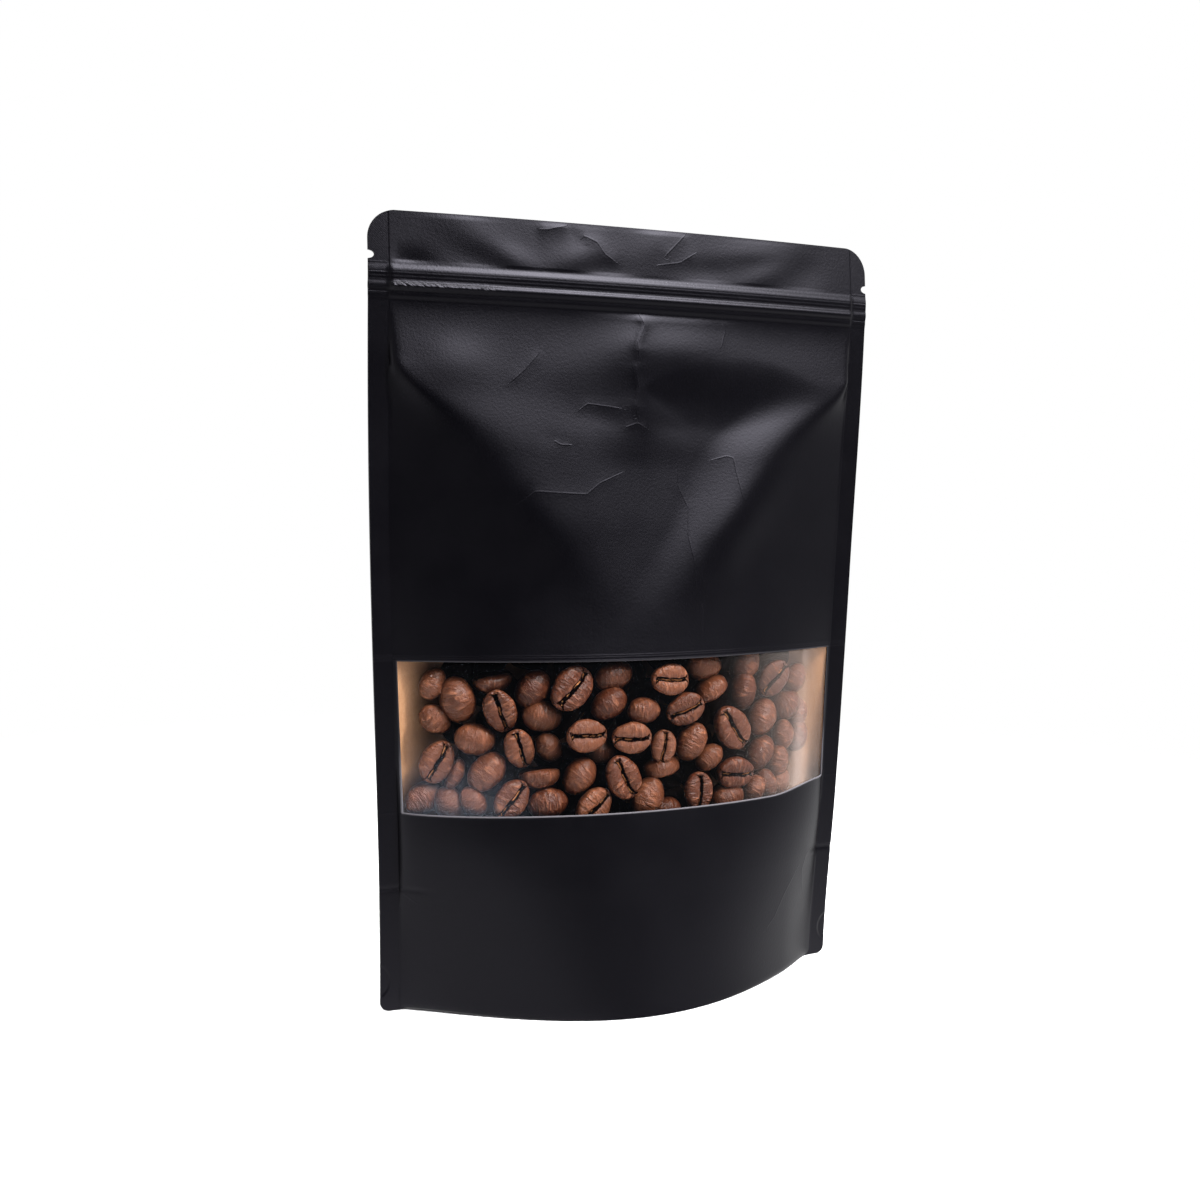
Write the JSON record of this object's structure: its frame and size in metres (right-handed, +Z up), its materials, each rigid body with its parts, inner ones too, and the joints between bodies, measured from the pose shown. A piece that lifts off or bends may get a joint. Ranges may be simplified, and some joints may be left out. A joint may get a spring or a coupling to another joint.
{
  "type": "stand-up pouch with window",
  "caption": "Matte black stand-up pouch with side seals, press-to-close zip, tear notches, bottom gusset and a clear window over roasted beans.",
  "frame": {"origin": "middle of the pouch's footprint, on the flat patch of the bottom gusset", "axes": "+Z up from the base to the top edge, +X along the width to the right of the window side, -Y out of the front panel"},
  "size_m": [0.14, 0.0538, 0.2],
  "materials": {
    "black_laminate": "soft matte black laminated film with fine creases",
    "kraft_paper": "uncoated brown kraft paper",
    "roasted_bean": "dry satin medium roast, finely wrinkled",
    "clear_film": "clear glossy plastic film with a slight haze"
  },
  "bodies": {
    "root": {"pouch": "black_laminate", "kraft_lining": "kraft_paper", "beans": "roasted_bean", "window_film": "clear_film"}
  },
  "joints": []
}
